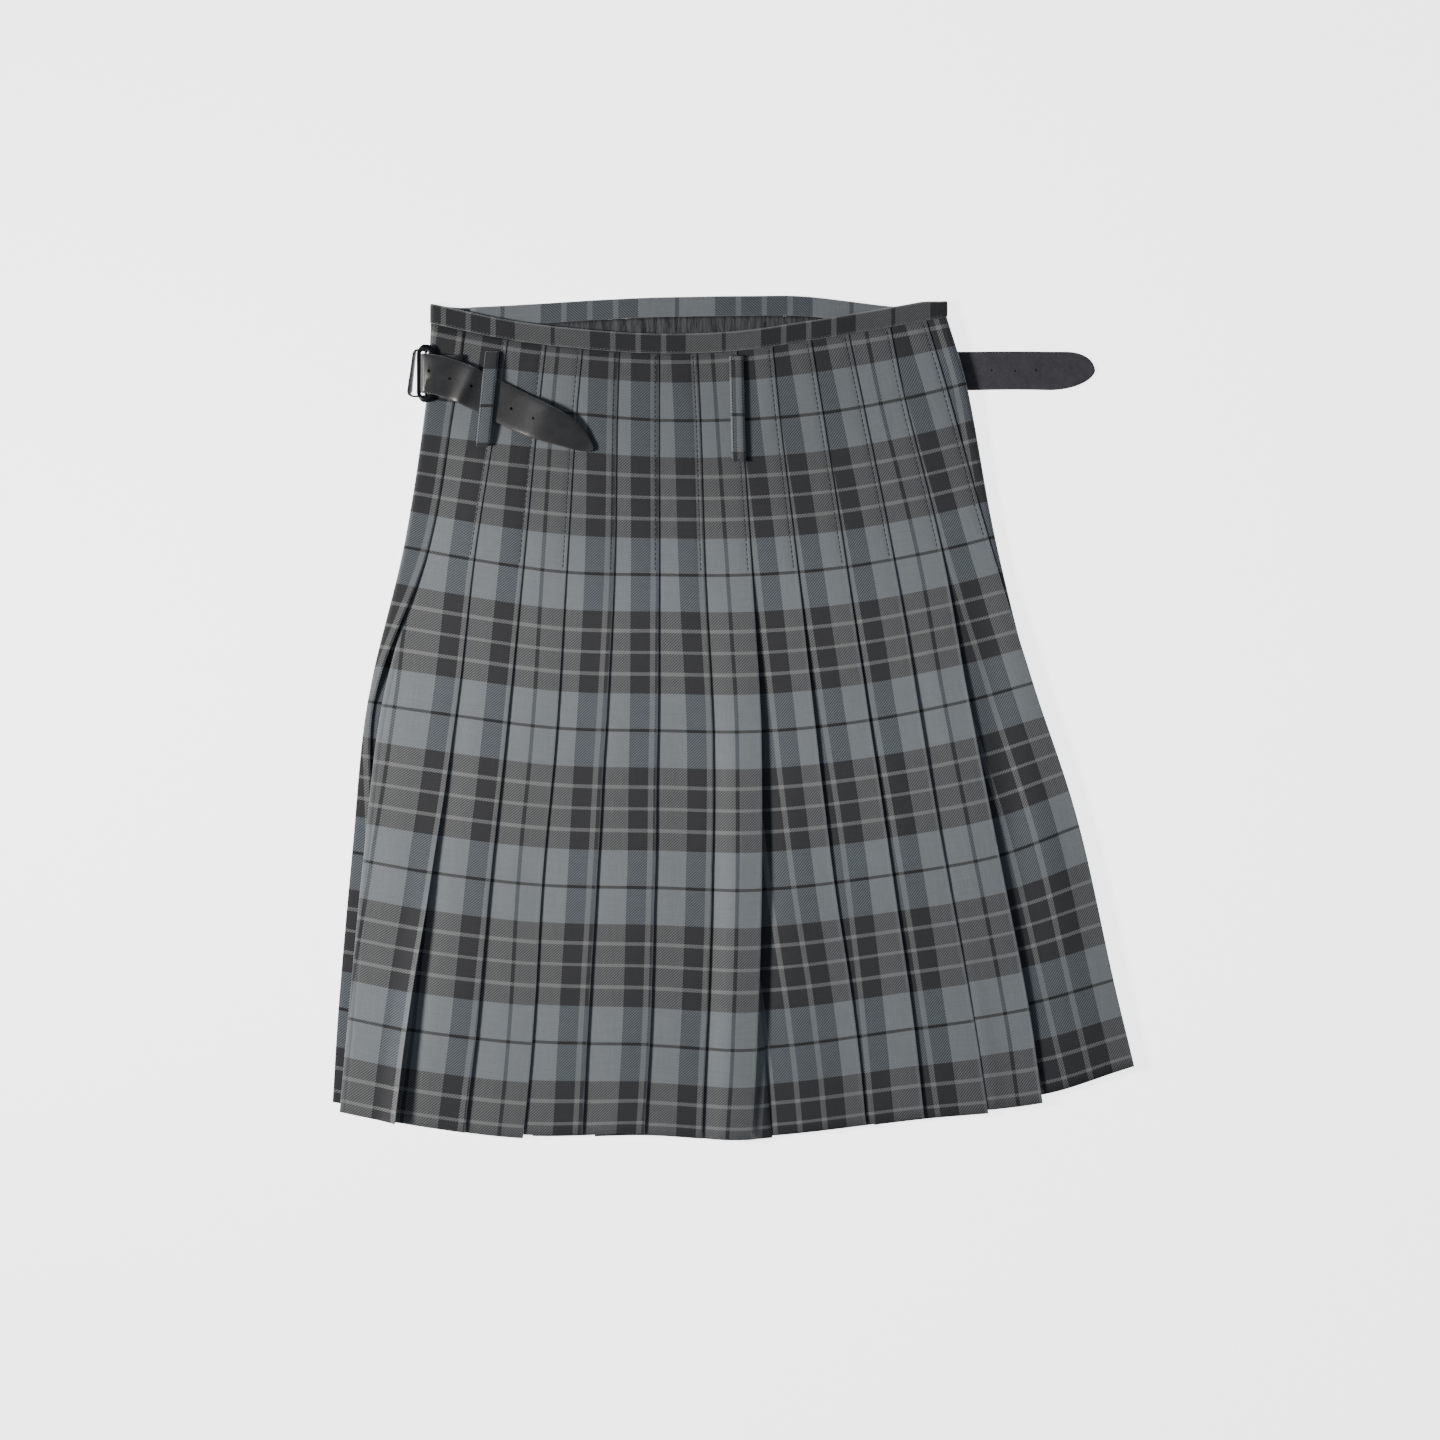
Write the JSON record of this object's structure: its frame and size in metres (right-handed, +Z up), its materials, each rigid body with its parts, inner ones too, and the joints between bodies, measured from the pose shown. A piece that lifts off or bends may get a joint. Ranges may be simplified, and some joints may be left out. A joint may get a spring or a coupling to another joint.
{
  "type": "pleated kilt laid flat",
  "caption": "Knife-pleated tartan kilt laid flat on its aprons with the pleated back up, waistband, belt loops, leather side straps and a side buckle.",
  "frame": {"origin": "centre of the laid-out kilt in X and Y, on the surface that it lies on", "axes": "+Z up from the surface through the pleated back; +Y from the hem to the waistband; +X to the side with the loose strap"},
  "size_m": [0.6132, 0.6449, 0.0158],
  "materials": {
    "tartan": "grey-blue and charcoal tartan in a fine twill, matt with a slight pressed sheen",
    "lining": "dark grey plain lining, softly wrinkled",
    "leather": "smooth black leather with a low polish",
    "suede": "matt flesh side of dark leather",
    "buckle": "polished nickel with darkened corners"
  },
  "bodies": {
    "root": {"pleated_back": "tartan", "over_apron": "tartan", "under_apron": "tartan", "waistband": "tartan", "belt_loop_left": "tartan", "belt_loop_centre": "tartan", "lining": "lining", "strap_left": "leather", "buckle_chape": "leather", "strap_right": "suede", "buckle_frame": "buckle", "buckle_bar": "buckle"}
  },
  "joints": []
}
